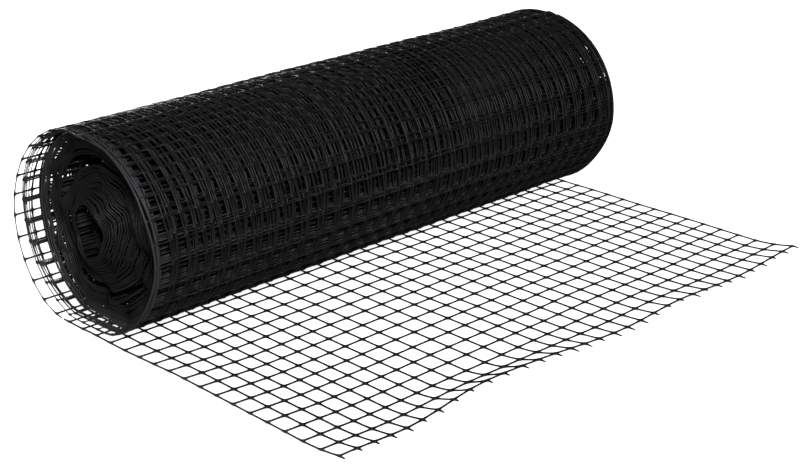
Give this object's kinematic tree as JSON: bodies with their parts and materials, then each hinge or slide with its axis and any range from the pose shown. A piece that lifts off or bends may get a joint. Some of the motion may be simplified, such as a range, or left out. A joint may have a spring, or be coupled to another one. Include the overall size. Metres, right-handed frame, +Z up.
{
  "type": "bird netting roll",
  "caption": "Roll of stiff black square-mesh bird netting, wound with an empty core, its free end laid flat in front with a wavy cut edge.",
  "frame": {"origin": "on the floor under the roll's axis, halfway along the net's width", "axes": "+X along the roll, with the end whose core shows at -X; +Y towards the back of the roll, away from the cut edge; +Z up"},
  "size_m": [0.6, 0.4426, 0.184],
  "materials": {
    "net_plastic": "black extruded polyethylene, satin"
  },
  "bodies": {
    "root": {"wound_roll": "net_plastic", "loose_end": "net_plastic"}
  },
  "joints": []
}
